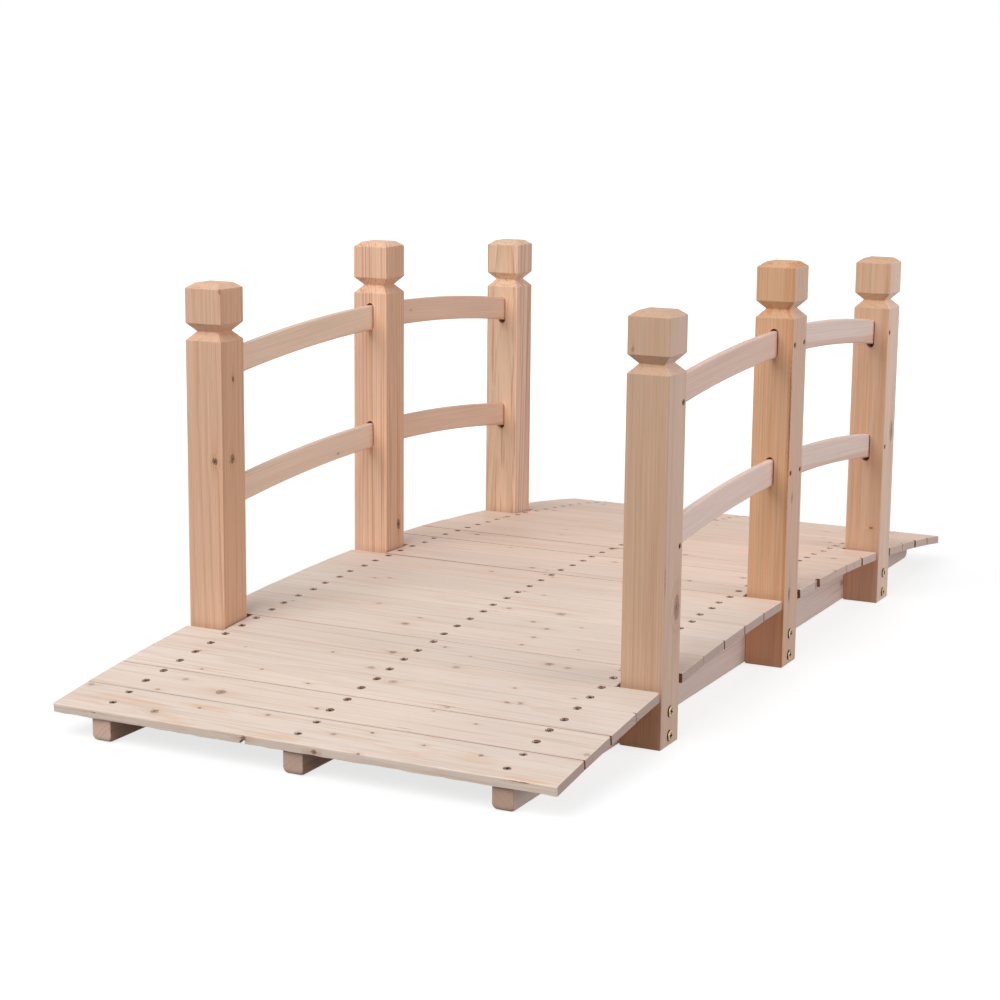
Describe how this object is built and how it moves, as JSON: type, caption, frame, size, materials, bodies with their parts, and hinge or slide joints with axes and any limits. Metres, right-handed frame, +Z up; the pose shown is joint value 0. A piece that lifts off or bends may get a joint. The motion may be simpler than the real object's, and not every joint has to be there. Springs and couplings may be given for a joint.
{
  "type": "arched garden footbridge",
  "caption": "Low arched garden footbridge of unfinished softwood: cross boards on arched stringers, with railings of thin arched rails let into square posts with grooved heads.",
  "frame": {"origin": "on the ground, under the middle of the bridge", "axes": "+X along the bridge towards its far end, +Y across it towards the left railing, +Z up"},
  "size_m": [1.4674, 0.661, 0.5409],
  "materials": {
    "deck_wood": "unfinished planed softwood",
    "stringer_wood": "unfinished planed softwood",
    "post_wood": "unfinished planed softwood",
    "rail_wood": "unfinished planed softwood"
  },
  "bodies": {
    "root": {"deck_board_01": "deck_wood", "deck_board_02": "deck_wood", "deck_board_03": "deck_wood", "deck_board_04": "deck_wood", "deck_board_05": "deck_wood", "deck_board_06": "deck_wood", "deck_board_07": "deck_wood", "deck_board_08": "deck_wood", "deck_board_09": "deck_wood", "deck_board_10": "deck_wood", "deck_board_11": "deck_wood", "deck_board_12": "deck_wood", "deck_board_13": "deck_wood", "deck_board_14": "deck_wood", "deck_board_15": "deck_wood", "deck_board_16": "deck_wood", "deck_board_17": "deck_wood", "deck_board_18": "deck_wood", "deck_board_19": "deck_wood", "deck_board_20": "deck_wood", "deck_board_21": "deck_wood", "stringer_left": "stringer_wood", "stringer_middle": "stringer_wood", "stringer_right": "stringer_wood", "post_left_near": "post_wood", "post_left_middle": "post_wood", "post_left_far": "post_wood", "post_right_near": "post_wood", "post_right_middle": "post_wood", "post_right_far": "post_wood", "rail_left_near_upper": "rail_wood", "rail_left_near_lower": "rail_wood", "rail_left_far_upper": "rail_wood", "rail_left_far_lower": "rail_wood", "rail_right_near_upper": "rail_wood", "rail_right_near_lower": "rail_wood", "rail_right_far_upper": "rail_wood", "rail_right_far_lower": "rail_wood"}
  },
  "joints": []
}
